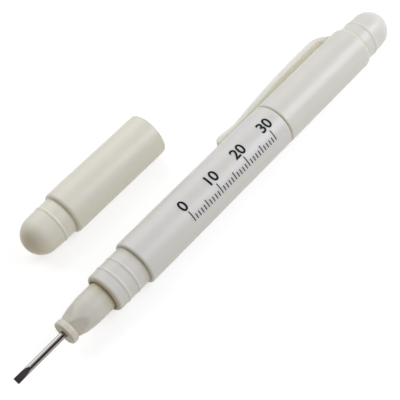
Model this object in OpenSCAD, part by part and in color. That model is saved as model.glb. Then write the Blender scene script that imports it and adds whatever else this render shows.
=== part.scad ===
// Double-ended pocket screwdriver in the form of a pen, lying on a table with its front cap pulled off.
// +X runs along the pen to its clip end, +Y to the clip and the loose cap, +Z up from the table.
// The origin is on the table, in the middle of the space that the pen and its cap take up.

/* [Barrel] */
// Outside diameter of the barrel and of both caps, which sit flush with it
body_d = 12; // [10.8:0.1:16]
// Length of the barrel
barrel_l = 51.7; // [40:0.1:80]
// Wall of the barrel
barrel_wall = 1.4; // [1:0.1:2]
// Rounding of the barrel's outer edge at the front
front_edge = 1.05; // [0.2:0.05:1.2]
// Rounding of the barrel's outer edge at the rear
rear_edge = 0.3; // [0.1:0.05:0.8]

/* [Necks] */
// How far a neck stands out of the barrel
neck_out = 10.3; // [9:0.1:14]
// How far a neck's spigot reaches into the barrel
neck_in = 8; // [6:0.1:12]
// Wall of the neck around the nose
neck_wall = 1.3; // [1:0.05:1.6]
// Rounding of the lip's outer edge
lip_outer_edge = 1; // [0.2:0.05:1]
// Rounding of the lip's inner edge
lip_inner_edge = 0.25; // [0.1:0.05:0.45]
// Height of a snap bead
bead_h = 0.17; // [0.1:0.01:0.3]
// Width of a snap bead
bead_w = 0.9; // [0.6:0.05:1.4]
// Middle of the first bead, from the barrel
bead_first = 3.15; // [2:0.05:4]
// Distance between the two beads
bead_step = 3.2; // [2:0.05:4]
// Width of the keys that stop a neck from turning in the barrel
key_w = 1.6; // [1:0.1:2.4]
// Height of those keys
key_h = 0.5; // [0.3:0.05:0.7]

/* [Noses] */
// How far a nose stands out of its neck
nose_out = 12.3; // [10:0.1:16]
// Depth of the nose's round collar in the neck
collar_l = 4; // [2:0.1:6]
// Length of the hexagonal tang behind the collar
tang_l = 9; // [5:0.1:12]
// Width of the tang across its flats
tang_w = 6; // [4.5:0.1:6.2]
// Diameter of the flange at the end of the nose
flange_d = 6.3; // [5:0.05:7.5]
// Thickness of the flange
flange_l = 1.9; // [1:0.05:2.5]
// Rounding of the flange's edges
flange_edge = 0.35; // [0.1:0.05:0.45]
// Length of the nose's taper, behind the flange
taper_l = 5.2; // [3:0.1:7]
// Diameter of the taper where it meets the flange
taper_end_d = 6; // [5:0.05:7]
// Width across the four flats where they meet the flange
nose_square = 4.2; // [3.5:0.05:5]
// Length of the flats
flat_l = 5.6; // [3:0.1:7]
// Turn of the flats about the pen, from +Y
nose_turn = 61; // [0:1:89]

/* [Blades] */
// Diameter of the blades
blade_d = 1.7; // [1.2:0.05:2.4]
// How far a blade stands out of its nose
blade_out = 14.8; // [10:0.1:20]
// How far a blade reaches into its nose
blade_in = 15; // [12:0.1:20]
// Length of the ground part of the flat tip
flat_tip_l = 4.1; // [2:0.1:6]
// Thickness of the flat tip
flat_tip_t = 0.4; // [0.3:0.05:0.8]
// Turn of the flat tip about the pen, from +Y
flat_tip_turn = 118; // [0:1:179]
// Length of the cross point's cone
cross_tip_l = 1.9; // [1:0.1:3]
// Diameter of the cross point's end
cross_end_d = 0.5; // [0.3:0.05:0.8]
// Length of the flutes of the cross point
flute_l = 3; // [2:0.1:5]
// Distance of a flute's bottom from the middle, at the point
flute_core = 0.22; // [0.15:0.01:0.4]
// Width of the wings that anchor a blade in its nose
wing_w = 3; // [2.6:0.1:4]
// Thickness of those wings
wing_t = 0.7; // [0.5:0.05:1]
// Length of those wings
wing_l = 4; // [2:0.1:6]

/* [Caps] */
// Wall of the caps around the neck
cap_wall = 0.6; // [0.5:0.05:1]
// Length of the front cap's sleeve
front_cap_l = 31.8; // [31:0.1:45]
// Length of the rear cap's sleeve
rear_cap_l = 32.9; // [32.4:0.1:45]
// Length of the sleeve's thicker end, which holds the plug's seat
cap_end_l = 4.5; // [3:0.1:5]
// Step from the plug's stub down to its seat, which stops the plug at the sleeve
seat_step = 0.2; // [0.1:0.05:0.4]
// Rounding of the sleeve's edge at the plug
cap_edge = 1.2; // [0.2:0.05:1.4]
// Rounding of the sleeve's edges at the mouth
mouth_edge = 0.2; // [0.05:0.05:0.24]
// From a cap's sleeve to the middle of its dome
stub_l = 6.8; // [5.5:0.1:9]
// Middle of a plug's bead, from the sleeve
stub_bead = 3.65; // [2:0.05:4.5]
// Step down from the stub to the dome
dome_step = 0.1; // [0:0.05:0.4]
// Wall of the plugs
plug_wall = 1.2; // [0.8:0.1:1.8]

/* [Pocket clip] */
// Height of the clip's outer face above the cap
clip_rise = 3.5; // [2.8:0.05:4.5]
// Thickness of the clip at its root
clip_t = 1.6; // [1.2:0.05:2]
// Width of the clip at its root
clip_w = 4.4; // [3:0.1:6]
// Width of the clip at its tip
clip_tip_w = 3.4; // [2:0.1:5]
// How far the clip's tip reaches past the cap's mouth, over the barrel
clip_over = 13.4; // [8:0.1:20]
// Length of the clip's foot, from its tip to its waist
foot_l = 7.4; // [5:0.1:9]
// Height of the foot at its tip
foot_h = 2.25; // [1.7:0.05:2.6]
// Thickness of the clip at its waist
waist_t = 1.45; // [1:0.05:1.6]
// Step between the foot and the arm at the waist, on both faces
waist_step = 0.05; // [0.02:0.01:0.1]
// Highest point of the clip's arch, from the mouth
clip_arch_x = 23; // [16:0.1:24]
// Bend at the clip's root, from the mouth
clip_root_x = 26; // [24.5:0.1:26.5]
// Length of the rounded root along the cap
root_l = 5.6; // [4.5:0.1:5.8]
// Length of the root where it stands on the cap
root_foot_l = 2.9; // [2:0.1:3.5]
// How much smaller than the clip's thickness its bend is, all round
bend_step = 0.2; // [0.1:0.05:0.4]
// Rounding of the tip, seen from above
tip_round = 1.2; // [0.3:0.05:1.4]

/* [Fits and layout] */
// Clearance around pieces that are pressed together
press_clear = 0.02; // [0.01:0.01:0.05]
// Clearance between a cap and the beads that it slides over
run_clear = 0.03; // [0.02:0.01:0.08]
// Gap around the nose at the neck's lip
nose_gap = 0.05; // [0.02:0.01:0.1]
// Gap between the barrel and the rear cap's mouth
joint_gap = 0.3; // [0.15:0.05:0.5]
// Gap between the clip's foot and the barrel
clip_gap = 0.15; // [0.1:0.05:0.4]
// Clearance around the bend at the clip's root
bend_clear = 0.05; // [0.03:0.01:0.1]
// Gap between the clip and its root, beside the bend
bend_gap = 0.1; // [0.08:0.01:0.2]
// Distance between the pen's axis and the loose cap's axis
cap_spacing = 25.9; // [22:0.1:60]
// Mouth of the loose cap, behind the barrel's front end
cap_back = 33; // [0:0.5:60]

/* [Hidden] */
$fn = 96;

// Sides of the clip's long arcs, whose radius is many times the clip's length
arch_fn = 1440;

// Overlap of cutting shapes past the face that they cut
over = 0.5;

// Radii that follow from the body and the walls
body_r = body_d / 2;
barrel_bore_r = body_r - barrel_wall;
cap_bore_r = body_r - cap_wall;
bead_r = cap_bore_r - run_clear;
neck_r = bead_r - bead_h;
neck_bore_r = neck_r - neck_wall;
nose_r = neck_bore_r - nose_gap;
spigot_r = barrel_bore_r - press_clear;
dome_r = neck_r - dome_step;
seat_r = neck_r - seat_step;
plug_hollow_r = dome_r - plug_wall;
flange_r = flange_d / 2;
blade_r = blade_d / 2;

// Stations on the pen, from the end of the barrel outwards
nose_end = neck_out + nose_out;
flats_end = nose_end - flange_l;
blade_end = nose_end + blade_out;
tang_start = neck_out - collar_l - tang_l;

// Clip heights above the pen's axis, and its bend
clip_top = body_r + clip_rise;
foot_y = body_r + clip_gap;
bend_y = clip_top - clip_t / 2;
bend_r = clip_t / 2 - bend_step;
tip_x = -clip_over;
waist_x = tip_x + foot_l;

// Places of the pen and of the loose cap in the frame
pen_l = blade_end + barrel_l + joint_gap + rear_cap_l + stub_l + dome_r;
barrel_x = blade_end - pen_l / 2;
pen_y = -cap_spacing / 2;

barrel_colour = "#dcdad4";
fitting_colour = "#d6d4ca";
cap_colour = "#dad7ca";
steel_colour = "#9a9da0";

// Radius of an arc that leaves a straight line and drops from it over a given run
function arc_radius(run, drop) = (run * run + drop * drop) / (2 * drop);

// Frames on the object: along the pen, outwards from each end of the barrel, and outwards in each cap
module on_pen() {
    translate([barrel_x, pen_y, body_r]) children();
}

module at_front() {
    on_pen() mirror([1, 0, 0]) children();
}

module at_rear() {
    on_pen() translate([barrel_l, 0, 0]) children();
}

module in_rear_cap() {
    at_rear() translate([joint_gap, 0, 0]) children();
}

module in_front_cap() {
    on_pen() translate([cap_back, cap_spacing, 0]) mirror([1, 0, 0]) children();
}

// A profile of radius and length, turned about the X axis
module turned() {
    rotate([0, 90, 0]) rotate_extrude() children();
}

// Cuts the corner at a point to a round, where dir_x and dir_y point into the material
module corner_cut(point, dir_x, dir_y, r) {
    translate(point) difference() {
        translate([dir_x > 0 ? -over : -r, dir_y > 0 ? -over : -r]) square(r + over);
        translate([dir_x * r, dir_y * r]) circle(r);
    }
}

// Profile of a snap bead that stands on the neck or the stub
module bead_profile(y) {
    bead_arc_r = arc_radius(bead_w / 2, bead_h);
    translate([bead_r - bead_arc_r, y]) circle(bead_arc_r);
}

// A hexagonal bar along X, measured across its flats
module hex_bar(x, length, width) {
    translate([x, 0, 0]) rotate([0, 90, 0]) cylinder(h = length, r = width / 2 / cos(30), $fn = 6);
}

// Two keys on opposite sides of a spigot, from the barrel's end inwards
module keys(length, width, r) {
    translate([-length / 2, 0, 0]) cube([length, width, 2 * r], center = true);
}

module barrel() {
    color(barrel_colour) on_pen() difference() {
        turned() difference() {
            translate([barrel_bore_r, 0]) square([barrel_wall, barrel_l]);
            corner_cut([body_r, 0], -1, 1, front_edge);
            corner_cut([body_r, barrel_l], -1, -1, rear_edge);
        }
        for (end = [0, 1])
            translate([end * barrel_l, 0, 0]) mirror([1 - end, 0, 0])
                keys(2 * neck_in, key_w + 2 * press_clear, barrel_bore_r + key_h + press_clear);
    }
}

// Neck with its snap beads, and a keyed spigot that reaches into the barrel
module neck() {
    color(fitting_colour) difference() {
        union() {
            turned() difference() {
                union() {
                    square([neck_r, neck_out]);
                    translate([0, -neck_in]) square([spigot_r, neck_in]);
                    for (i = [0, 1]) bead_profile(bead_first + i * bead_step);
                }
                corner_cut([neck_r, neck_out], -1, -1, lip_outer_edge);
            }
            intersection() {
                keys(neck_in, key_w, barrel_bore_r + key_h);
                translate([-neck_in, 0, 0]) rotate([0, 90, 0]) cylinder(h = neck_in, r = barrel_bore_r + key_h);
            }
        }
        turned() {
            translate([0, neck_out - collar_l]) square([neck_bore_r, collar_l + over]);
            corner_cut([neck_bore_r, neck_out], 1, -1, lip_inner_edge);
        }
        hex_bar(-neck_in - over, neck_in + neck_out, tang_w + 2 * press_clear);
    }
}

module front_neck() {
    at_front() neck();
}

module rear_neck() {
    at_rear() neck();
}

// One tapered flat: a wedge that cuts the nose from nothing at its start to the square at the flange
module nose_flat(turn) {
    rotate([turn, 0, 0]) linear_extrude(height = 4 * nose_r, center = true) polygon([
        [flats_end - flat_l, nose_r],
        [flats_end, nose_square / 2],
        [flats_end + over, nose_square / 2],
        [flats_end + over, 2 * nose_r],
        [flats_end - flat_l, 2 * nose_r]
    ]);
}

// Blade holder: round collar, taper with four flats, end flange and a hexagonal tang in the neck
module nose() {
    color(fitting_colour) difference() {
        union() {
            difference() {
                turned() polygon([
                    [0, neck_out - collar_l],
                    [nose_r, neck_out - collar_l],
                    [nose_r, flats_end - taper_l],
                    [taper_end_d / 2, flats_end],
                    [0, flats_end]
                ]);
                for (i = [0:3]) nose_flat(nose_turn + 90 * i);
            }
            turned() difference() {
                translate([0, flats_end]) square([flange_r, flange_l]);
                corner_cut([flange_r, flats_end], -1, 1, flange_edge);
                corner_cut([flange_r, nose_end], -1, -1, flange_edge);
            }
            hex_bar(tang_start, tang_l, tang_w);
        }
        blade_stem(press_clear);
    }
}

module front_nose() {
    at_front() nose();
}

module rear_nose() {
    at_rear() nose();
}

// The part of a blade inside its nose: the rod and the wings that keep it from turning
module blade_stem(clear) {
    stem_start = nose_end - blade_in - clear;
    translate([stem_start, 0, 0]) rotate([0, 90, 0]) cylinder(h = blade_in + 2 * clear, r = blade_r + clear);
    translate([stem_start, -wing_t / 2 - clear, -wing_w / 2 - clear])
        cube([wing_l + 2 * clear, wing_t + 2 * clear, wing_w + 2 * clear]);
}

// The bare rod outside the nose, up to the start of its tip
module blade_rod(tip_l) {
    blade_stem(0);
    translate([nose_end - blade_in, 0, 0]) rotate([0, 90, 0])
        cylinder(h = blade_in + blade_out - tip_l, r = blade_r);
}

// Blade with a hollow-ground flat tip: two round cuts that run out tangent to the tip
module flat_blade() {
    grind_r = arc_radius(flat_tip_l, blade_r - flat_tip_t / 2);
    color(steel_colour) at_front() difference() {
        blade_rod(0);
        for (side = [0, 180])
            rotate([flat_tip_turn + side, 0, 0]) translate([blade_end, flat_tip_t / 2 + grind_r, 0])
                cylinder(h = 2 * blade_d, r = grind_r, center = true);
    }
}

// Blade with a cross point: a cone with four flutes that run out along the rod
module cross_blade() {
    flute_slope = atan((blade_r - flute_core) / flute_l);
    color(steel_colour) at_rear() difference() {
        union() {
            blade_rod(cross_tip_l);
            translate([blade_end - cross_tip_l, 0, 0]) rotate([0, 90, 0])
                cylinder(h = cross_tip_l, r1 = blade_r, r2 = cross_end_d / 2);
        }
        for (i = [0:3])
            rotate([90 * i, 0, 0]) translate([blade_end, flute_core, 0]) rotate([0, 0, -flute_slope])
                rotate([45, 0, 0]) translate([-2 * flute_l, 0, 0]) cube([3 * flute_l, blade_d, blade_d]);
    }
}

// Sleeve of a cap, from its mouth to the shoulder that holds the plug
module cap_sleeve(length) {
    turned() difference() {
        square([body_r, length]);
        translate([0, -over]) square([cap_bore_r, length - cap_end_l + over]);
        translate([0, -over]) square([seat_r + press_clear, length + 2 * over]);
        corner_cut([body_r, 0], -1, 1, mouth_edge);
        corner_cut([cap_bore_r, 0], 1, 1, mouth_edge);
        corner_cut([body_r, length], -1, -1, cap_edge);
    }
}

// Plug that closes a cap: seat, stub with a snap bead, and a hollow dome, from the sleeve outwards
module cap_plug() {
    turned() difference() {
        union() {
            translate([0, -cap_end_l]) square([seat_r, cap_end_l]);
            square([neck_r, stub_bead]);
            bead_profile(stub_bead);
            square([dome_r, stub_l]);
            round_end(dome_r, stub_l);
        }
        translate([0, -cap_end_l - over]) square([plug_hollow_r, cap_end_l + stub_l + over]);
        round_end(plug_hollow_r, stub_l);
    }
}

// Quarter of a circle that closes a turned profile with a dome
module round_end(r, y) {
    intersection() {
        translate([0, y]) circle(r);
        translate([0, y]) square(r);
    }
}

module front_cap_sleeve() {
    color(cap_colour) in_front_cap() cap_sleeve(front_cap_l);
}

module front_cap_plug() {
    color(cap_colour) in_front_cap() translate([front_cap_l, 0, 0]) cap_plug();
}

module rear_cap_sleeve() {
    color(cap_colour) in_rear_cap() union() {
        cap_sleeve(rear_cap_l);
        clip_root();
    }
}

module rear_cap_plug() {
    color(cap_colour) in_rear_cap() translate([rear_cap_l, 0, 0]) cap_plug();
}

// Root of the clip on the sleeve: a rounded post with a hollow that the clip's bend turns in
module clip_root() {
    root_r = arc_radius(root_l, clip_rise);
    slot_end = clip_root_x + root_l - root_foot_l;
    difference() {
        linear_extrude(height = clip_w, center = true) difference() {
            intersection() {
                translate([clip_root_x, clip_top - root_r]) circle(root_r);
                translate([clip_root_x + bend_gap, 0]) square([root_l - bend_gap, clip_top]);
            }
            square([slot_end, clip_top - clip_t]);
            translate([clip_root_x, bend_y]) circle(bend_r + bend_clear);
        }
        rotate([0, 90, 0]) cylinder(h = rear_cap_l, r = body_r - cap_wall / 2);
    }
}

// Side view of the clip: a thick foot with a round tip, an arched arm and a round bend at its root
module clip_profile() {
    arch_run = clip_arch_x - waist_x;
    outer_r = arc_radius(arch_run, clip_top - foot_y - waist_t + waist_step);
    inner_r = arc_radius(arch_run, clip_top - clip_t - foot_y - waist_step);
    intersection() {
        difference() {
            translate([clip_arch_x, clip_top - outer_r]) circle(outer_r, $fn = arch_fn);
            translate([clip_arch_x, clip_top - clip_t - inner_r]) circle(inner_r, $fn = arch_fn);
        }
        translate([waist_x, 0]) square([clip_root_x - waist_x, clip_top]);
    }
    translate([clip_root_x, bend_y]) circle(bend_r);
    difference() {
        union() {
            intersection() {
                translate([tip_x + foot_h, foot_y]) circle(foot_h);
                translate([tip_x, foot_y]) square(foot_h);
            }
            polygon([
                [tip_x + foot_h, foot_y],
                [waist_x, foot_y],
                [waist_x, foot_y + waist_t],
                [tip_x + foot_h, foot_y + foot_h]
            ]);
        }
        corner_cut([tip_x, foot_y], 1, 1, foot_h / 4);
    }
}

// View of the clip from above: tapered to a tip with round corners
module clip_plan() {
    difference() {
        polygon([
            [tip_x, -clip_tip_w / 2],
            [clip_root_x + clip_t, -clip_w / 2],
            [clip_root_x + clip_t, clip_w / 2],
            [tip_x, clip_tip_w / 2]
        ]);
        corner_cut([tip_x, -clip_tip_w / 2], 1, 1, tip_round);
        corner_cut([tip_x, clip_tip_w / 2], 1, -1, tip_round);
    }
}

module pocket_clip() {
    color(cap_colour) in_rear_cap() intersection() {
        linear_extrude(height = clip_w, center = true) clip_profile();
        rotate([90, 0, 0]) linear_extrude(height = 4 * clip_top, center = true) clip_plan();
    }
}

barrel();
front_neck();
rear_neck();
front_nose();
rear_nose();
flat_blade();
cross_blade();
front_cap_sleeve();
front_cap_plug();
rear_cap_sleeve();
rear_cap_plug();
pocket_clip();
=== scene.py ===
import math

import bmesh
import bpy
from mathutils import Matrix, Quaternion, Vector


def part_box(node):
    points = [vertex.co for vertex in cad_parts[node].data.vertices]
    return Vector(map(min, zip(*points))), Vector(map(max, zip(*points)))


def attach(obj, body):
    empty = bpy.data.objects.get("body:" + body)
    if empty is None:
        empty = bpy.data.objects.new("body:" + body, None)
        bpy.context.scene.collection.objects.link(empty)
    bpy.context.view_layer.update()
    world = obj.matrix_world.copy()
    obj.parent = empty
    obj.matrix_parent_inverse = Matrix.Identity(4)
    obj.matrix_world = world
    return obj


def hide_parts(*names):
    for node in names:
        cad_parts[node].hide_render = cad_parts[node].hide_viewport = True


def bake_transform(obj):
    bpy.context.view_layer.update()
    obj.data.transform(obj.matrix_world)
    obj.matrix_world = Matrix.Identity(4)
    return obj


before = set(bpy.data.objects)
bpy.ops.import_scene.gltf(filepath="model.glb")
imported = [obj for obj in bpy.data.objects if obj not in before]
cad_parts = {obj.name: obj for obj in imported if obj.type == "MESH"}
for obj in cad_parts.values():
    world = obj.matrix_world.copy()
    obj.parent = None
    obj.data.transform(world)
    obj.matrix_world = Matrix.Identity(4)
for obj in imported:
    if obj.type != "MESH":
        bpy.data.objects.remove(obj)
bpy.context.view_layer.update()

# Barrel: a plain tube of off-white ABS, injection moulded in a polished mould.
# Its front edge is well rounded, its rear edge less so, and a neck is pressed into each end.
# The sizes of all pieces are in millimetres, and become metres when a mesh is made.
MM = 0.001
TURNED_SIDES = 144
barrel_low, barrel_high = (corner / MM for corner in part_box("barrel"))
barrel_l = barrel_high.x - barrel_low.x
body_r = (barrel_high.z - barrel_low.z) / 2
pen_y = (barrel_low.y + barrel_high.y) / 2
axis_z = (barrel_low.z + barrel_high.z) / 2
neck_r = 5.2
# Places along the barrel are measured from the front end of its solid.
barrel_wall, into_joint = 1.4, 0.25
barrel_bore_r = body_r - barrel_wall
barrel_front, barrel_front_edge = 0.5, 0.7
barrel_rear, barrel_rear_edge = barrel_l + into_joint, 0.45
rear_rim_r = body_r - 0.4
# The olive that stands in for shade: painted shade in corners and on faces turned from the lights.
PAINTED_SHADE_OLIVE = "#ab9a5c"


def linear(hex_colour):
    """An sRGB hex colour as the linear values that a shader takes."""
    parts = [int(hex_colour[i:i + 2], 16) / 255 for i in (1, 3, 5)]
    return [c / 12.92 if c <= 0.04045 else ((c + 0.055) / 1.055) ** 2.4 for c in parts] + [1.0]


def per_metre(size):
    """Scale of a texture whose features are about this many millimetres across."""
    return 1 / (size * MM)


def add(tree, kind, settings=None, links=None):
    """Adds a node, sets its properties and input values, and links its inputs to other nodes' outputs."""
    made = tree.nodes.new(kind)
    for key, value in (settings or {}).items():
        if isinstance(key, str) and hasattr(made, key):
            setattr(made, key, value)
        else:
            made.inputs[key].default_value = value
    for key, socket in (links or {}).items():
        tree.links.new(socket, made.inputs[key])
    return made


def new_material(name):
    """An empty node material, its tree and its output node."""
    material = bpy.data.materials.new(name)
    material.use_nodes = True
    material.node_tree.nodes.clear()
    return material, material.node_tree, add(material.node_tree, "ShaderNodeOutputMaterial")


def moulded_plastic(name, hex_colour, shade_hex, roughness, depth=1.2, share=0.6):
    """Moulded ABS: an even tint with a faint cloud in it, a satin skin with fine grain, and the long
    shallow waves that cooling leaves, which make its highlights a little uneven. A share of the light
    goes this many millimetres deep, which softens its shades. An olive tint, set by a mesh attribute,
    is painted shade in corners and on faces turned from the lights. A mould's own grain is finer, and is
    drawn this coarse so that it shows."""
    cloud_size, satin_size, wave_size, grain_size = 9, 1.5, 7, 0.16
    wave_depth, grain_depth, satin_spread = 0.02, 0.0012, 0.05
    material, tree, output = new_material(name)
    place = {"Vector": add(tree, "ShaderNodeTexCoord").outputs["Object"]}
    cloud = add(tree, "ShaderNodeTexNoise", {"Scale": per_metre(cloud_size), "Detail": 3}, place)
    tint = add(tree, "ShaderNodeMix", {"data_type": "RGBA", 6: linear(shade_hex), 7: linear(hex_colour)},
               {0: cloud.outputs["Fac"]})
    # Painted shade: the olive is mixed in as strongly as the mesh's attribute says.
    painted_shade = add(tree, "ShaderNodeAttribute", {"attribute_name": "painted_shade"})
    shaded = add(tree, "ShaderNodeMix", {"data_type": "RGBA", 7: linear(PAINTED_SHADE_OLIVE)},
                  {0: painted_shade.outputs["Fac"], 6: tint.outputs[2]})
    satin = add(tree, "ShaderNodeTexNoise", {"Scale": per_metre(satin_size), "Detail": 4}, place)
    rough = add(tree, "ShaderNodeMapRange",
                {"To Min": roughness - satin_spread, "To Max": roughness + satin_spread},
                {"Value": satin.outputs["Fac"]})
    wave = add(tree, "ShaderNodeTexNoise", {"Scale": per_metre(wave_size), "Detail": 1}, place)
    waves = add(tree, "ShaderNodeBump", {"Strength": 1.0, "Distance": wave_depth * MM},
                {"Height": wave.outputs["Fac"]})
    grain = add(tree, "ShaderNodeTexNoise", {"Scale": per_metre(grain_size), "Detail": 2}, place)
    skin_bump = add(tree, "ShaderNodeBump", {"Strength": 1.0, "Distance": grain_depth * MM},
                    {"Height": grain.outputs["Fac"], "Normal": waves.outputs["Normal"]})
    shader = add(tree, "ShaderNodeBsdfPrincipled", {
        "IOR": 1.53,
        "Subsurface Weight": share,
        "Subsurface Radius": (1.0, 0.85, 0.55),
        "Subsurface Scale": depth * MM,
    }, {
        "Base Color": shaded.outputs[2],
        "Roughness": rough.outputs["Result"],
        "Normal": skin_bump.outputs["Normal"],
    })
    tree.links.new(shader.outputs["BSDF"], output.inputs["Surface"])
    return material


def arc(center, radius, start, end, steps=8):
    """Points of an arc in a turned profile of (distance along the axis, radius). 90 degrees is outwards."""
    angles = [math.radians(start + (end - start) * i / steps) for i in range(steps + 1)]
    return [(center[0] + radius * math.cos(a), center[1] + radius * math.sin(a)) for a in angles]


def with_support(profile):
    """The profile with extra points near the ends of its straight runs, which keep their shading true."""
    support_steps = (0.08, 0.3, 0.7, 1.2)
    widest_share, shortest_run = 0.45, 0.4
    points = [profile[0]]
    for start, end in zip(profile, profile[1:]):
        run = math.dist(start, end)
        near = [step for step in support_steps if step < widest_share * run]
        shares = [step / run for step in near] + [1 - step / run for step in reversed(near)]
        if run > shortest_run:
            points += [tuple(a + (b - a) * share for a, b in zip(start, end)) for share in shares]
        points.append(end)
    return points


def skin(name, rings, material, closed=False, painted_shade=None, sharp_angle=35):
    """A mesh over rings of points in millimetres. A ring of one point is a pole, and the painted shade has
    one value for each ring."""
    weld = 1e-7
    points, starts = [], []
    for ring in rings:
        starts.append(len(points))
        points.extend(Vector(point) * MM for point in ring)
    follow = list(range(1, len(rings))) + ([0] if closed else [])
    faces = []
    for a, b in zip(range(len(rings)), follow):
        count_a, count_b = len(rings[a]), len(rings[b])
        for i in range(max(count_a, count_b)):
            corners = [starts[a] + i % count_a, starts[a] + (i + 1) % count_a,
                       starts[b] + (i + 1) % count_b, starts[b] + i % count_b]
            faces.append(list(dict.fromkeys(corners)))
    mesh = bpy.data.meshes.new(name)
    mesh.from_pydata(points, [], faces)
    values = [value for ring, value in zip(rings, painted_shade or [0] * len(rings)) for _ in ring]
    # Each point keeps its strength of the painted olive shade.
    mesh.attributes.new("painted_shade", "FLOAT", "POINT").data.foreach_set("value", values)
    work = bmesh.new()
    work.from_mesh(mesh)
    bmesh.ops.remove_doubles(work, verts=work.verts, dist=weld)
    bmesh.ops.recalc_face_normals(work, faces=work.faces)
    work.to_mesh(mesh)
    work.free()
    mesh.shade_smooth()
    mesh.set_sharp_from_angle(angle=math.radians(sharp_angle))
    mesh.materials.append(material)
    piece = bpy.data.objects.new(name, mesh)
    bpy.context.scene.collection.objects.link(piece)
    return piece


def on_axis(start_x, axis_y, direction):
    """Places (distance, radius, angle) about a line along X. The angle runs from +Y to +Z."""
    def place(along, radius, angle):
        return (
            start_x + direction * along,
            axis_y + radius * math.cos(angle),
            axis_z + radius * math.sin(angle),
        )
    return place


def dust(point, shade_spots):
    """Painted shade at a point of a profile, from spots where shade is painted, each with its reach and
    strength.
    """
    shaded = [strength * max(0, 1 - math.dist(point, spot) / reach) for spot, reach, strength in shade_spots]
    return max([0] + shaded)


def turned(name, profile, place, material, closed=True, shade_spots=()):
    """A turned piece with painted shade at its shaded spots. A profile that ends on the axis at both ends
    isn't closed.
    """
    outline = with_support(profile + profile[:1] if closed else profile)
    if closed:
        outline.pop()
    turn = [2 * math.pi * i / TURNED_SIDES for i in range(TURNED_SIDES)]
    rings = [[place(u, r, a) for a in turn] if r > 0 else [place(u, 0, 0)] for u, r in outline]
    return skin(name, rings, material, closed, [dust(point, shade_spots) for point in outline])


def fit(piece, body, slot, *nodes):
    """Lets a finished piece ride its body and stand for its solids. The slot is not used."""
    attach(piece, body)
    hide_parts(*nodes)


barrel_plastic = moulded_plastic("abs_barrel_moulded_gloss", "#d9d6d1", "#d4d1cb", 0.36)
barrel_profile = (
    arc((barrel_front + barrel_front_edge, body_r - barrel_front_edge), barrel_front_edge, 180, 90)
    + arc((barrel_rear - barrel_rear_edge, body_r - barrel_rear_edge), barrel_rear_edge, 90, 0)
    + [(barrel_rear, barrel_bore_r), (barrel_front, barrel_bore_r)]
)
# Painted shade: an olive tint in the corner at the neck and in the rear joint.
barrel_shade_spots = [((barrel_front, neck_r), 0.5, 0.25), ((barrel_rear, rear_rim_r), 0.5, 0.35)]
barrel = turned("barrel_tube", barrel_profile, on_axis(barrel_low.x, pen_y, 1), barrel_plastic,
                shade_spots=barrel_shade_spots)
fit(barrel, "screwdriver", "barrel_plastic", "barrel")

# Scale: plain millimetre marks with a number at each centimetre, pad printed on the barrel in black.
# The ink is a film too thin to feel. Its foot is sunk in the plastic, so that no gap shows below it.
scale_start, scale_l, mark_pitch, number_pitch = barrel_low.x + 17, 30, 1, 10
mark_w, short_mark, middle_mark, long_mark = 0.28, 1.4, 2.1, 2.9
number_h, number_gap, number_weight = 2.8, 0.5, 0.09
digit_share = 0.7
ink_top, ink_sunk = 0.018, 0.1
# The middle of the print faces this way round the barrel, and the marks start this far below it.
scale_facing, scale_foot = math.radians(125), -3.2
strip_w, outline_weld = 0.25, 0.03


def printed_ink(name, hex_colour, thin_hex):
    """Pad printing ink: black and matt, a little thinner in spots where the pad left less of it."""
    spot_size = 0.5
    material, tree, output = new_material(name)
    place = {"Vector": add(tree, "ShaderNodeTexCoord").outputs["Object"]}
    spots = add(tree, "ShaderNodeTexNoise", {"Scale": per_metre(spot_size), "Detail": 4}, place)
    tint = add(tree, "ShaderNodeMix", {"data_type": "RGBA", 6: linear(thin_hex), 7: linear(hex_colour)},
               {0: spots.outputs["Fac"]})
    shader = add(tree, "ShaderNodeBsdfPrincipled",
                 {"Roughness": 0.6, "IOR": 1.45, "Specular IOR Level": 0.2},
                 {"Base Color": tint.outputs[2]})
    tree.links.new(shader.outputs["BSDF"], output.inputs["Surface"])
    return material


def named_inputs(tree, sockets):
    """Gives a node tree its geometry output and its inputs, each a (name, kind), and returns the inputs."""
    tree.interface.new_socket("Geometry", in_out="OUTPUT", socket_type="NodeSocketGeometry")
    for name, kind in sockets:
        tree.interface.new_socket(name, in_out="INPUT", socket_type=f"NodeSocket{kind}")
    return add(tree, "NodeGroupInput").outputs


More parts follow.
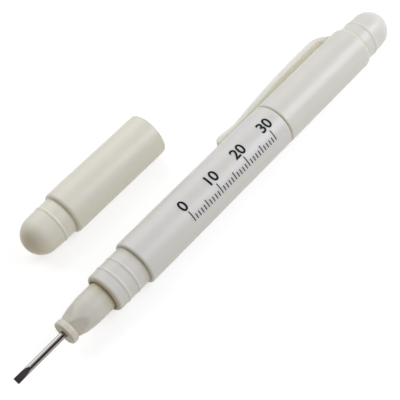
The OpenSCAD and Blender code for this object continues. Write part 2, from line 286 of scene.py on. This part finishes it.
def mark_row(name):
    """Tree for a row of upright marks along X: every tenth is long, every fifth between is middling."""
    tolerance = 0.1
    tree = bpy.data.node_groups.new(name, "GeometryNodeTree")
    sizes = named_inputs(tree, [
        ("Marks", "Int"), ("Pitch", "Float"), ("Width", "Float"), ("Thickness", "Float"),
        ("Short", "Float"), ("Middle", "Float"), ("Long", "Float"), ("Ink", "Material"),
    ])
    step = add(tree, "ShaderNodeCombineXYZ", {}, {"X": sizes["Pitch"]})
    row = add(tree, "GeometryNodeMeshLine", {"mode": "OFFSET"},
              {"Count": sizes["Marks"], "Offset": step.outputs["Vector"]})
    number = add(tree, "GeometryNodeInputIndex").outputs["Index"]
    height = sizes["Short"]
    for every, tall in ((5, "Middle"), (10, "Long")):
        left = add(tree, "ShaderNodeMath", {"operation": "MODULO", 1: every}, {0: number})
        is_one = add(tree, "ShaderNodeMath", {"operation": "COMPARE", 1: 0, 2: tolerance},
                     {0: left.outputs[0]})
        height = add(tree, "ShaderNodeMix", {"data_type": "FLOAT"},
                     {0: is_one.outputs[0], 2: height, 3: sizes[tall]}).outputs[0]
    half = add(tree, "ShaderNodeMath", {"operation": "MULTIPLY", 1: 0.5}, {0: height})
    lift = add(tree, "ShaderNodeCombineXYZ", {}, {"Y": half.outputs[0]})
    raised = add(tree, "GeometryNodeSetPosition", {},
                 {"Geometry": row.outputs["Mesh"], "Offset": lift.outputs["Vector"]})
    bar = add(tree, "GeometryNodeMeshCube", {"Size": (1, 1, 1)})
    size = add(tree, "ShaderNodeCombineXYZ", {},
               {"X": sizes["Width"], "Y": height, "Z": sizes["Thickness"]})
    marks = add(tree, "GeometryNodeInstanceOnPoints", {}, {
        "Points": raised.outputs["Geometry"],
        "Instance": bar.outputs["Mesh"],
        "Scale": size.outputs["Vector"],
    })
    real = add(tree, "GeometryNodeRealizeInstances", {}, {"Geometry": marks.outputs["Instances"]})
    inked = add(tree, "GeometryNodeSetMaterial", {},
                {"Geometry": real.outputs["Geometry"], "Material": sizes["Ink"]})
    add(tree, "NodeGroupOutput", {}, {"Geometry": inked.outputs["Geometry"]})
    return tree


def plain_mesh(maker):
    """The finished mesh of an object that a tree or a font shapes. The object itself goes."""
    bpy.context.scene.collection.objects.link(maker)
    mesh = bpy.data.meshes.new_from_object(maker.evaluated_get(bpy.context.evaluated_depsgraph_get()))
    bpy.data.objects.remove(maker)
    return mesh


def mark_mesh(ink):
    """The row of marks, laid flat: along X, upwards in Y, and as thick as the film in Z."""
    maker = bpy.data.objects.new("scale_marks", bpy.data.meshes.new("scale_marks"))
    modifier = maker.modifiers.new("marks", "NODES")
    modifier.node_group = mark_row("scale_mark_row")
    values = {
        "Marks": scale_l // mark_pitch + 1,
        "Pitch": float(mark_pitch),
        "Width": mark_w,
        "Thickness": ink_top + ink_sunk,
        "Short": short_mark,
        "Middle": middle_mark,
        "Long": long_mark,
        "Ink": ink,
    }
    for socket in modifier.node_group.interface.items_tree:
        if socket.in_out == "INPUT":
            modifier[socket.identifier] = values[socket.name]
    return plain_mesh(maker)


def number_mesh(value):
    """A plain number, laid flat with its middle over the mark that it belongs to."""
    font = bpy.data.curves.new(f"scale_number_{value}", "FONT")
    font.body = str(value)
    font.size = number_h / digit_share
    font.align_x = "CENTER"
    font.extrude = (ink_top + ink_sunk) / 2
    font.offset = number_weight
    font.resolution_u = 6
    mesh = plain_mesh(bpy.data.objects.new(font.name, font))
    mesh.transform(Matrix.Translation((value, long_mark + number_gap, 0)))
    return mesh


def wrapped(name, flat_meshes, material):
    """Cuts flat print into narrow strips and lays it round the barrel, with its upper side just above the
    skin and its lower side below it."""
    work = bmesh.new()
    for mesh in flat_meshes:
        work.from_mesh(mesh)
    bmesh.ops.remove_doubles(work, verts=work.verts, dist=outline_weld)
    strips = math.ceil((long_mark + number_gap + number_h) / strip_w)
    for i in range(1, strips):
        everything = work.verts[:] + work.edges[:] + work.faces[:]
        bmesh.ops.bisect_plane(work, geom=everything, plane_co=(0, i * strip_w, 0), plane_no=(0, 1, 0))
    place = on_axis(scale_start, pen_y, 1)
    for point in work.verts:
        radius = body_r + (ink_top if point.co.z > 0 else -ink_sunk)
        angle = scale_facing - (scale_foot + point.co.y) / body_r
        point.co = Vector(place(point.co.x, radius, angle)) * MM
    bmesh.ops.recalc_face_normals(work, faces=work.faces)
    print_mesh = bpy.data.meshes.new(name)
    work.to_mesh(print_mesh)
    work.free()
    print_mesh.materials.clear()
    print_mesh.materials.append(material)
    printed = bpy.data.objects.new(name, print_mesh)
    bpy.context.scene.collection.objects.link(printed)
    return printed


black_ink = printed_ink("pad_print_ink_black", "#0c0c0d", "#1c1c1d")
numbers = [number_mesh(value) for value in range(0, scale_l + 1, number_pitch)]
scale = wrapped("barrel_scale", [mark_mesh(black_ink)] + numbers, black_ink)
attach(scale, "screwdriver")

# Necks: short tubes of the same ABS with two snap beads that hold a cap, and a rounded lip round the nose.
# Each is pressed into the barrel by a spigot, and a small fillet fills the corner at the barrel's edge.
# Places along the necks, noses and blade are measured outwards from the ends of the barrel's solid.
lip_setback = 0.4
neck_out = barrel_low.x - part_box("front_neck")[0].x / MM - lip_setback
nose_seat = neck_out - 4
neck_bore_r, neck_inner_r = 3.9, 3.0
spigot_l, spigot_r, spigot_gap = 8, barrel_bore_r - 0.02, 0.1
bead_h, bead_w, bead_steps = 0.14, 1.1, 16
neck_beads = (3.15, 6.35)
lip_outer_edge, lip_inner_edge = 1.0, 0.2
lip_recess_r, lip_recess_l = 4.06, 1.4
neck_fillet = 0.45
neck_plastic = moulded_plastic("abs_neck_moulded_satin", "#d9d6d0", "#d3d0c9", 0.46)


def bead(middle, base_r):
    """The snap bead that stands on a neck or a stub: a smooth wave from its lower to its upper end."""
    shares = [2 * i / bead_steps - 1 for i in range(bead_steps + 1)]
    return [(middle + bead_w / 2 * t, base_r + bead_h * (1 + math.cos(math.pi * t)) / 2) for t in shares]


def corner_fillet(edge_center, edge_r, base_r, fillet_r):
    """The fillet that fills the corner between a rounded edge and the round base in front of it."""
    rise = base_r + fillet_r - edge_center[1]
    run = math.sqrt((edge_r + fillet_r) ** 2 - rise ** 2)
    start = 180 + math.degrees(math.atan2(rise, run))
    return arc((edge_center[0] + run, base_r + fillet_r), fillet_r, start, 270)


barrel_edge_center = (-barrel_front - barrel_front_edge, body_r - barrel_front_edge)
neck_profile = (
    [(-spigot_l, neck_inner_r), (-spigot_l, spigot_r), (-barrel_front - spigot_gap, spigot_r)]
    + corner_fillet(barrel_edge_center, barrel_front_edge, neck_r, neck_fillet)
    + [point for middle in neck_beads for point in bead(middle, neck_r)]
    + arc((neck_out - lip_outer_edge, neck_r - lip_outer_edge), lip_outer_edge, 90, 0)
    + arc((neck_out - lip_inner_edge, lip_recess_r + lip_inner_edge), lip_inner_edge, 0, -90)
    + [(neck_out - lip_recess_l, lip_recess_r), (neck_out - lip_recess_l, neck_bore_r)]
    + [(nose_seat, neck_bore_r), (nose_seat, neck_inner_r)]
)
# Painted shade: an olive tint in the corner at the barrel's edge and in the lip's recess.
neck_shade_spots = [((-barrel_front, neck_r), 1.7, 0.4), ((neck_out, lip_recess_r), 1.4, 0.9)]
front_line = on_axis(barrel_low.x, pen_y, -1)
rear_line = on_axis(barrel_high.x, pen_y, 1)
for end, line in (("front", front_line), ("rear", rear_line)):
    neck = turned(f"{end}_neck_ring", neck_profile, line, neck_plastic, shade_spots=neck_shade_spots)
    fit(neck, "screwdriver", "fitting_plastic", f"{end}_neck")

# Noses: the blade holders, moulded in the same ABS: a round collar that tapers to an end flange,
# with four flats on the taper. The blade is moulded in, with a small rim of shade where it comes out.
nose_r = 3.85
nose_end = barrel_low.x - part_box("front_nose")[0].x / MM
nose_sides, nose_steps = 256, 64
collar_back, collar_step, collar_rows = 1.0, 0.2, 19
flange_r, flange_l, flange_edge = 3.15, 1.9, 0.5
dish_r, dish_depth, dish_slope = 2.5, 0.08, 0.2
flats_end = nose_end - flange_l
taper_l, taper_lead, taper_end_r, taper_power = 6.2, 0.4, 3.0, 1.45
flat_l, flat_end_half = 3.8, 2.04
first_flat = math.radians(61)
edge_softness = 0.16
blade_hole_r, blade_hole_l, blade_hole_edge = 1.02, 0.8, 0.1
# The noses' tint is a little darker than the neck's: painted shade for their flats and flange, which face
# away from the lights.
nose_plastic = moulded_plastic("abs_nose_moulded_satin", "#d4d1c6", "#cecbbf", 0.38)


def soft_min(a, b, softness):
    """The lesser of two radii, rounded where they cross as a mould rounds an edge."""
    mix = max(softness - abs(a - b), 0) / softness
    return min(a, b) - mix * mix * softness / 4


def taper_radius(along):
    """Radius of the nose before the flats are cut: round, with a taper that begins softly."""
    share = max(0, along - (flats_end - taper_l)) / taper_l
    return nose_r + (taper_end_r - nose_r) * share ** taper_power


def nose_radius(along, angle):
    """Radius of the nose: the taper, cut by four flats that deepen towards the flange."""
    flats, first_cut, least_facing = 4, -0.1, 0.5
    radius = taper_radius(along)
    cut = (along - (flats_end - flat_l)) / flat_l
    flat_start_half = taper_radius(flats_end - flat_l)
    flat = flat_start_half + (flat_end_half - flat_start_half) * cut
    for i in range(flats):
        facing = math.cos(angle - first_flat - i * 2 * math.pi / flats)
        if cut > first_cut and facing > least_facing:
            radius = soft_min(radius, flat / facing, edge_softness)
    return radius


nose_turn = [2 * math.pi * i / nose_sides for i in range(nose_sides)]
dish_floor = nose_end - dish_depth
flange_rows = (
    arc((flats_end + flange_edge, flange_r - flange_edge), flange_edge, 180, 90)
    + arc((nose_end - flange_edge, flange_r - flange_edge), flange_edge, 90, 0)
    + [(nose_end, dish_r), (dish_floor, dish_r - dish_slope)]
    + arc((dish_floor - blade_hole_edge, blade_hole_r + blade_hole_edge), blade_hole_edge, 0, -90, 4)
    + [(nose_end - blade_hole_l, blade_hole_r), (nose_end - blade_hole_l, 0)]
)


def nose_rings(place):
    """Rings of the nose from its collar to the flange, and back into the hole that holds the blade."""
    rings = [[place(nose_seat, 0, 0)]]
    for along in [nose_seat] + [neck_out - collar_back + collar_step * i for i in range(collar_rows)]:
        rings.append([place(along, nose_r, a) for a in nose_turn])
    for i in range(nose_steps + 1):
        along = flats_end - (taper_l + taper_lead) * (1 - i / nose_steps)
        rings.append([place(along, nose_radius(along, a), a) for a in nose_turn])
    for along, radius in flange_rows:
        if along < flats_end + flange_edge:
            rings.append([place(along, max(radius, nose_radius(flats_end, a)), a) for a in nose_turn])
        elif radius > 0:
            rings.append([place(along, radius, a) for a in nose_turn])
        else:
            rings.append([place(along, 0, 0)])
    return rings


# Shade is painted onto the nose under the neck's lip, in the corner behind the flange, and on the flange's
# face.
nose_shade_spots = [((neck_out, 0), 2.6, 0.5), ((flats_end, 0), 0.6, 0.3), ((nose_end, 0), 0.3, 0.35)]
for end, line in (("front", front_line), ("rear", rear_line)):
    rings = nose_rings(line)
    start_x = line(0, 0, 0)[0]
    painted_shade = [dust((abs(ring[0][0] - start_x), 0), nose_shade_spots) for ring in rings]
    nose = skin(f"{end}_nose_holder", rings, nose_plastic, painted_shade=painted_shade)
    fit(nose, "screwdriver", "fitting_plastic", f"{end}_nose")

# Flat blade: drawn and polished tool steel wire whose tip is hollow ground on two sides to a flat edge.
# The drawing leaves faint lines along the rod, and the wheel leaves lines across the ground faces.
blade_r, blade_sunk = 0.85, 4
blade_start = nose_end - blade_sunk
blade_end = barrel_low.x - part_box("flat_blade")[0].x / MM
tip_l, tip_half = 4.1, 0.2
grind_start = blade_end - tip_l
grind_r = (tip_l ** 2 + (blade_r - tip_half) ** 2) / (2 * (blade_r - tip_half))
tip_facing = math.radians(118)
tip_steps, tip_crowding = 40, 1.5
rod_support, grind_support = (0.5, 6), (0.2, 0.05)
ground_facing = 0.9


def steel(name, hex_colour, roughness, across):
    """Bright tool steel, with fine parallel lines from drawing along X or from grinding across it.
    The real lines are finer, and are drawn this coarse so that they show."""
    line_width, line_length, line_depth, line_contrast = 0.06, 3, 0.0016, 0.06
    material, tree, output = new_material(name)
    place = {"Vector": add(tree, "ShaderNodeTexCoord").outputs["Object"]}
    lines_along = (per_metre(line_length), per_metre(line_width), per_metre(line_width))
    lines_across = (per_metre(line_width), per_metre(line_length), per_metre(line_length))
    stretch = add(tree, "ShaderNodeMapping", {"Scale": lines_across if across else lines_along}, place)
    lines = add(tree, "ShaderNodeTexNoise", {"Scale": 1.0, "Detail": 3},
                {"Vector": stretch.outputs["Vector"]})
    rough = add(tree, "ShaderNodeMapRange",
                {"To Min": roughness - line_contrast, "To Max": roughness + line_contrast},
                {"Value": lines.outputs["Fac"]})
    bump = add(tree, "ShaderNodeBump", {"Strength": 1.0, "Distance": line_depth * MM},
               {"Height": lines.outputs["Fac"]})
    shader = add(tree, "ShaderNodeBsdfPrincipled", {"Base Color": linear(hex_colour), "Metallic": 1.0},
                 {"Roughness": rough.outputs["Result"], "Normal": bump.outputs["Normal"]})
    tree.links.new(shader.outputs["BSDF"], output.inputs["Surface"])
    return material


polished_steel = steel("tool_steel_drawn_polished", "#9c9997", 0.14, across=False)
# The ground faces take a far darker steel colour than the rod: a painted dark reflection.
ground_steel = steel("tool_steel_wheel_ground", "#403d3c", 0.24, across=True)


def flat_section(along, half):
    """Points of the rod's section that two parallel cuts leave, each cut this far from the middle."""
    flat_steps, round_steps = 8, 16
    corner = math.acos(min(1, half / blade_r))
    points = []
    for side in (0, math.pi):
        for i in range(flat_steps + 1):
            across = (1 - 2 * i / flat_steps) * corner
            radius = half / math.cos(across) if half < blade_r else blade_r
            points.append(front_line(along, radius, tip_facing + side - across))
        for i in range(1, round_steps):
            angle = corner + (math.pi - 2 * corner) * i / round_steps
            points.append(front_line(along, blade_r, tip_facing + side + angle))
    return points


def tip_half_at(along):
    """Half the tip's thickness: a round cut by the wheel, tangent to the tip's end."""
    back = blade_end - along
    return tip_half + grind_r - math.sqrt(max(0, grind_r ** 2 - back ** 2))


blade_rows = [blade_start] + [nose_end + step for step in rod_support]
blade_rows += [grind_start - step for step in grind_support]
blade_rows += [blade_end - tip_l * (1 - i / tip_steps) ** tip_crowding for i in range(tip_steps + 1)]
blade_rings = [[front_line(blade_start, 0, 0)]]
blade_rings += [flat_section(u, tip_half_at(u) if u > grind_start else blade_r) for u in blade_rows]
blade_rings += [[front_line(blade_end, 0, 0)]]
flat_blade = skin("flat_blade_rod", blade_rings, polished_steel, sharp_angle=20)
flat_blade.data.materials.append(ground_steel)
facing = Vector((0, math.cos(tip_facing), math.sin(tip_facing)))
for face in flat_blade.data.polygons:
    at_tip = face.center.x < (barrel_low.x - grind_start) * MM
    if at_tip and abs(face.normal.dot(facing)) > ground_facing:
        face.material_index = 1
fit(flat_blade, "screwdriver", "blade_steel", "flat_blade")

# Cross blade: the same wire with a cross point at its end, under the rear cap until that is pulled off.
# Its solid has the true flutes, so it keeps its shape and only takes the polished steel.
cross_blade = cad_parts["cross_blade"]
cross_blade.data.materials.clear()
cross_blade.data.materials.append(polished_steel)

# Caps: thin sleeves of a slightly warmer ABS, each closed by a hollow plug with a snap bead and a domed
# end. The plug's shoulder stops on the sleeve, whose outer edge is rounded down to it.
# The loose front cap is given a little yellower tint than the rear one, of the same plastic: painted warm
# light.
cap_bore_r = 5.4
cap_end_l = 4.5
cap_edge, mouth_edge, mouth_inner_edge = 1.2, 0.52, 0.05
stub_l, stub_bead = 6.82, 3.35
dome_r, plug_hollow_r, seat_r = 5.1, 3.9, 5.0
edge_foot_r, seat_bore_r = neck_r + 0.03, seat_r + 0.02
sleeve_rim_l, seat_top = 0.4, 0.2
stub_fillet = 0.4
cap_plastics = {
    "rear": moulded_plastic("abs_rear_cap_moulded_satin", "#dbd8cf", "#d6d3c9", 0.36),
    "front": moulded_plastic("abs_front_cap_moulded_satin", "#dedacb", "#d9d5c4", 0.36,
                             depth=0.8, share=0.2),
}


def cap_sleeve(name, length, place, plastic):
    """A cap's tube, from its mouth to the shoulder."""
    reach = math.degrees(math.acos((edge_foot_r - body_r + cap_edge) / cap_edge))
    profile = (
        arc((mouth_edge, body_r - mouth_edge), mouth_edge, 180, 90)
        + arc((length - cap_edge, body_r - cap_edge), cap_edge, 90, 90 - reach, 12)
        + [(length - sleeve_rim_l, seat_bore_r), (length - cap_end_l, seat_bore_r)]
        + [(length - cap_end_l, cap_bore_r)]
        + arc((mouth_inner_edge, cap_bore_r + mouth_inner_edge), mouth_inner_edge, 270, 180)
    )
    # Painted shade: an olive tint in the corner at the shoulder and round the mouth.
    shade_spots = [((length, neck_r), 0.9, 0.3), ((0, body_r), 0.8, 0.25)]
    return turned(name, profile, place, plastic, shade_spots=shade_spots)


def cap_plug(name, place, plastic):
    """A cap's plug, from the top of its dome to its seat in the sleeve, and back along its hollow inside."""
    profile = (
        [(stub_l + dome_r, 0)]
        + arc((stub_l, 0), dome_r, 0, 90, 24)[1:]
        + bead(stub_bead, neck_r)[::-1]
        + corner_fillet((-cap_edge, body_r - cap_edge), cap_edge, neck_r, stub_fillet)[::-1]
        + [(-seat_top, seat_r), (-cap_end_l, seat_r), (-cap_end_l, plug_hollow_r)]
        + arc((stub_l, 0), plug_hollow_r, 90, 0, 16)[:-1]
        + [(stub_l + plug_hollow_r, 0)]
    )
    # Painted shade: an olive tint in the shoulder's corner, and a faint warm one over the dome's end, which
    # faces away from the lights.
    shade_spots = [((0, neck_r), 0.6, 0.3), ((stub_l + dome_r, 0), 5.0, 0.25)]
    return turned(name, profile, place, plastic, closed=False, shade_spots=shade_spots)


# The clip's root widens the box of the rear sleeve, so the rear cap takes its axis from the barrel.
for end, direction in (("rear", 1), ("front", -1)):
    low, high = (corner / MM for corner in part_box(f"{end}_cap_sleeve"))
    mouth_x, shoulder_x = (low.x, high.x) if end == "rear" else (high.x, low.x)
    axis_y = pen_y if end == "rear" else (low.y + high.y) / 2
    sleeve = cap_sleeve(f"{end}_cap_tube", high.x - low.x, on_axis(mouth_x, axis_y, direction),
                        cap_plastics[end])
    fit(sleeve, f"{end}_cap", "cap_plastic", f"{end}_cap_sleeve")
    plug = cap_plug(f"{end}_cap_dome", on_axis(shoulder_x, axis_y, direction), cap_plastics[end])
    fit(plug, f"{end}_cap", "cap_plastic", f"{end}_cap_plug")

# Pocket clip: a spring arm moulded in one with the rear cap's sleeve, thick at its foot and root.
# It rises from the sleeve in a round root, runs forward in a shallow arch, and its foot rests on the
# barrel. Its places along X are measured from the rear cap's mouth.
rear_mouth_x = (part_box("rear_cap_sleeve")[0] / MM).x
clip_top = body_r + 3.5
clip_t, waist_t, foot_h, foot_l = 1.6, 1.45, 2.25, 7.4
clip_w, clip_tip_w, tip_round, sole_round = 4.4, 3.4, 1.2, 0.56
foot_y = body_r + 0.15
tip_x = -13.4
waist_x = tip_x + foot_l
waist_ease, ease_reach = 0.12, 9
arch_x, root_x, root_l, root_foot_l = 23.0, 26.0, 5.6, 2.9
root_fillet, corner_round = 0.7, 0.35
flare_x = root_x + 1
slot_x, slot_r = root_x + root_l - root_foot_l, 1.7
slot_roof = clip_top - clip_t
sink = 0.7


def clip_outer(x):
    """Height of the clip's outer face: the round tip, the foot's slope, and the arch, eased at the waist."""
    slope = (waist_t - foot_h) / (foot_l - foot_h)
    foot = foot_y + foot_h + slope * (x - tip_x - foot_h)
    rise = clip_top - foot_y - waist_t
    share = min(1, (x - waist_x) / (arch_x - waist_x))
    arch = foot_y + waist_t + rise * (1 - (1 - share) ** 2)
    height = arch
    if x < waist_x + ease_reach:
        height = 0.5 * (foot + arch + math.sqrt((foot - arch) ** 2 + waist_ease ** 2))
    if x < tip_x + foot_h:
        tip = foot_y + math.sqrt(max(0, foot_h ** 2 - (tip_x + foot_h - x) ** 2))
        return min(height, tip)
    return height


def clip_inner(x):
    """Height of the clip's inner face: the flat sole of the foot, then the arch above barrel and cap."""
    if x < tip_x + sole_round:
        return foot_y + sole_round - math.sqrt(max(0, sole_round ** 2 - (tip_x + sole_round - x) ** 2))
    share = min(1, max(0, (x - waist_x) / (arch_x - waist_x)))
    return foot_y + (slot_roof - foot_y) * (1 - (1 - share) ** 2)


def clip_half_width(x):
    """Half the clip's width: a long taper with round corners at the tip."""
    share = (x - tip_x) / (root_x - tip_x)
    half = (clip_tip_w + (clip_w - clip_tip_w) * min(1, share)) / 2
    back = max(0, tip_round - (x - tip_x))
    return half - tip_round + math.sqrt(max(0, tip_round ** 2 - back ** 2))


def clip_ring(outer, inner, half_width):
    """A rounded rectangle between two points of the side view, in (x, height, side)."""
    corner_steps, most_round = 5, 0.8
    middle = [(a + b) / 2 for a, b in zip(outer, inner)]
    thick = math.dist(outer, inner) / 2
    up = [(a - b) / (2 * thick) for a, b in zip(outer, inner)]
    round_r = min(corner_round, most_round * thick, most_round * half_width)
    ring = []
    for quarter in range(4):
        for i in range(corner_steps + 1):
            angle = math.pi / 2 * (quarter + i / corner_steps)
            side = math.cos(angle) * round_r
            rise = math.sin(angle) * round_r
            side += (half_width - round_r) * (1 if quarter in (0, 3) else -1)
            rise += (thick - round_r) * (1 if quarter in (0, 1) else -1)
            ring.append((middle[0] + up[0] * rise, middle[1] + up[1] * rise, side))
    return ring


def arm_sections():
    """Outer point, inner point and half width of each section of the arm, from the tip to the root."""
    first, arm_steps, crowding = 0.04, 70, 1.6
    sections = []
    for i in range(arm_steps + 1):
        x = tip_x + first + (root_x - tip_x - first) * (i / arm_steps) ** crowding
        sections.append(((x, clip_outer(x)), (x, clip_inner(x)), clip_half_width(x)))
    return sections


def root_sections():
    """The same for the root. Its outer face is round and ends in the sleeve. Its inner face follows the
    roof of the slot between clip and cap, bends down, and ends in the sleeve too."""
    root_steps = 24
    roof_share, bend_share, round_share = 0.35, 0.6, 0.8
    root_r = (root_l ** 2 + (clip_top - body_r) ** 2) / (2 * (clip_top - body_r))
    sweep = math.asin(root_l / root_r)
    sections = []
    for i in range(1, root_steps + 1):
        share = i / root_steps
        angle = sweep * min(1, share / round_share)
        past = max(0, share - round_share) / (1 - round_share) * sink
        outer = (root_x + root_r * math.sin(angle) + past * math.cos(sweep),
                 clip_top - root_r * (1 - math.cos(angle)) - past * math.sin(sweep))
        if share < roof_share:
            inner = (root_x + (slot_x - slot_r - root_x) * share / roof_share, slot_roof)
        elif share < bend_share:
            bend = math.pi / 2 * (share - roof_share) / (bend_share - roof_share)
            inner = (slot_x - slot_r + slot_r * math.sin(bend), slot_roof - slot_r * (1 - math.cos(bend)))
        else:
            drop = (slot_roof - slot_r - body_r + sink) * (share - bend_share) / (1 - bend_share)
            inner = (slot_x, slot_roof - slot_r - drop)
        sections.append((outer, inner, clip_w / 2))
    return sections


def flare(x, height, side):
    """Spreads the root where it meets the sleeve, which gives the fillet that the mould leaves there."""
    gap = math.hypot(height, side) - body_r
    if x < flare_x or gap > root_fillet:
        return x, side
    rise = max(0, gap)
    spread = root_fillet - math.sqrt(root_fillet ** 2 - (root_fillet - rise) ** 2)
    middle_x = root_x + root_l - root_foot_l / 2
    out_x, out_side = x - middle_x, side
    length = math.hypot(out_x, out_side)
    return x + spread * out_x / length, side + spread * out_side / length


clip_rings = []
for outer, inner, half_width in arm_sections() + root_sections():
    ring = []
    for x, height, side in clip_ring(outer, inner, half_width):
        x, side = flare(x, height, side)
        ring.append((rear_mouth_x + x, pen_y + height, axis_z + side))
    clip_rings.append(ring)
for ring, at in ((clip_rings[0], 0), (clip_rings[-1], len(clip_rings) + 1)):
    middle = tuple(sum(point[i] for point in ring) / len(ring) for i in range(3))
    clip_rings.insert(at, [middle])
clip_plastic = moulded_plastic("abs_clip_moulded_translucent", "#d0cdc3", "#cbc8bc", 0.36,
                               depth=16, share=0.9)
clip = skin("pocket_clip_arm", clip_rings, clip_plastic, sharp_angle=50)
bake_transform(clip)
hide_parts("pocket_clip")

# Stage: a white table under soft studio light, with sizes in metres. The main softbox hangs on the clip's
# side, a smaller one at the rear right draws the highlight along the rear cap, and a wide dim panel lights
# the right side. One dark card shades the ends that face it, and another only shows in the blade.


def either(tree, first, second):
    """One where either of two light path outputs is one."""
    return add(tree, "ShaderNodeMath", {"operation": "MAXIMUM"}, {0: first, 1: second}).outputs[0]


def seen_rays(tree):
    """One for the rays that show the background: to the camera, in reflections and through glass."""
    path = add(tree, "ShaderNodeLightPath").outputs
    in_gloss_or_glass = either(tree, path["Is Glossy Ray"], path["Is Transmission Ray"])
    return either(tree, path["Is Camera Ray"], in_gloss_or_glass)


def white_table(name, bounce_hex, white_hex, glow):
    """A table that shows white and keeps the object's shadow, and bounces a slightly warm light."""
    material, tree, output = new_material(name)
    bounce = add(tree, "ShaderNodeBsdfDiffuse", {"Color": linear(bounce_hex)})
    white = add(tree, "ShaderNodeBsdfDiffuse", {"Color": linear(white_hex)})
    light = add(tree, "ShaderNodeEmission", {"Strength": glow})
    bright = add(tree, "ShaderNodeAddShader", {}, {0: white.outputs[0], 1: light.outputs[0]})
    mixed = add(tree, "ShaderNodeMixShader", {},
                {0: seen_rays(tree), 1: bounce.outputs[0], 2: bright.outputs[0]})
    tree.links.new(mixed.outputs[0], output.inputs["Surface"])
    return material


def felt(name, hex_colour):
    """Matt felt, which gives back only a little light."""
    material, tree, output = new_material(name)
    cloth = add(tree, "ShaderNodeBsdfDiffuse", {"Color": linear(hex_colour)})
    tree.links.new(cloth.outputs[0], output.inputs["Surface"])
    return material


def card(name, size, place, aim, material):
    """A flat sheet that stands in the studio and looks at a point."""
    half_w, half_h = size[0] / 2, size[1] / 2
    corners = [(-half_w, -half_h, 0), (half_w, -half_h, 0), (half_w, half_h, 0), (-half_w, half_h, 0)]
    mesh = bpy.data.meshes.new(name)
    mesh.from_pydata(corners, [], [(0, 1, 2, 3)])
    mesh.materials.append(material)
    sheet = bpy.data.objects.new(name, mesh)
    bpy.context.scene.collection.objects.link(sheet)
    sheet.location = place
    sheet.rotation_euler = (Vector(place) - Vector(aim)).to_track_quat("Z", "Y").to_euler()
    return sheet


def softbox(name, size, place, aim, power, hex_colour):
    """A soft rectangular lamp that the camera doesn't see."""
    lamp = bpy.data.lights.new(name, "AREA")
    lamp.shape = "RECTANGLE"
    lamp.size, lamp.size_y = size
    lamp.energy = power
    lamp.color = linear(hex_colour)[:3]
    holder = bpy.data.objects.new(name, lamp)
    bpy.context.scene.collection.objects.link(holder)
    holder.location = place
    holder.rotation_euler = (Vector(aim) - Vector(place)).to_track_quat("-Z", "Y").to_euler()
    holder.visible_camera = False


table_top = white_table("table_white_laminate", "#eeeade", "#c8c8c8", 0.62)
card("table", (8, 8), (0, 0, 0), (0, 0, -1), table_top)
for name, size, place, aim, hex_colour in (
    ("front_card", (0.9, 0.6), (-0.32, -0.05, 0.25), (0, 0, 0.25), "#72581a"),
    ("blade_card", (0.14, 0.5), (0.02, -0.28, 0.17), (-0.06, -0.013, 0.006), "#453d33"),
):
    sheet = card(name, size, place, aim, felt(f"{name}_felt", hex_colour))
    sheet.visible_camera = False
    sheet.visible_shadow = name != "blade_card"

world = bpy.data.worlds.new("studio")
bpy.context.scene.world = world
world.use_nodes = True
world.node_tree.nodes.clear()
room = add(world.node_tree, "ShaderNodeBackground", {"Color": linear("#e9eef6"), "Strength": 0.53})
backdrop = add(world.node_tree, "ShaderNodeBackground", {"Color": linear("#ffffff"), "Strength": 1.0})
sky = add(world.node_tree, "ShaderNodeMixShader", {},
          {0: seen_rays(world.node_tree), 1: room.outputs[0], 2: backdrop.outputs[0]})
add(world.node_tree, "ShaderNodeOutputWorld", {}, {"Surface": sky.outputs[0]})

softbox("main_softbox", (0.6, 0.5), (0.06, 0.34, 0.4), (0, 0, 0), 1.34, "#ffffff")
softbox("fill_softbox", (0.36, 0.36), (0.44, -0.42, 0.42), (0, 0, 0), 2.2, "#f6f8ff")
softbox("side_panel", (0.9, 0.9), (0.25, -0.8, 0.6), (0, 0, 0), 2.9, "#eaf1ff")

# Camera: a short telephoto lens above the blade's end, with distances in millimetres and angles in degrees.
# It is turned so that the pen lies along the picture's diagonal.
PHOTO_SIDE = 400
focal_pixels = 1114
camera_azimuth, camera_elevation, camera_roll = -36.2, 48.19, -16.3
camera_distance = 265.9
aim_point = Vector((-6.03, -13.15, 5.85))
azimuth, elevation = math.radians(camera_azimuth), math.radians(camera_elevation)
back = Vector((
    math.sin(azimuth) * math.cos(elevation),
    -math.cos(azimuth) * math.cos(elevation),
    math.sin(elevation),
))
camera_data = bpy.data.cameras.new("camera")
camera_data.sensor_width = 36
camera_data.lens = camera_data.sensor_width * focal_pixels / PHOTO_SIDE
camera_data.clip_start = 0.01
camera = bpy.data.objects.new("camera", camera_data)
bpy.context.scene.collection.objects.link(camera)
camera.location = (aim_point + back * camera_distance) * MM
camera.rotation_mode = "QUATERNION"
turn = (-back).to_track_quat("-Z", "Y")
camera.rotation_quaternion = turn @ Quaternion((0, 0, 1), math.radians(camera_roll))
bpy.context.scene.camera = camera
bpy.context.scene.view_settings.view_transform = "Standard"
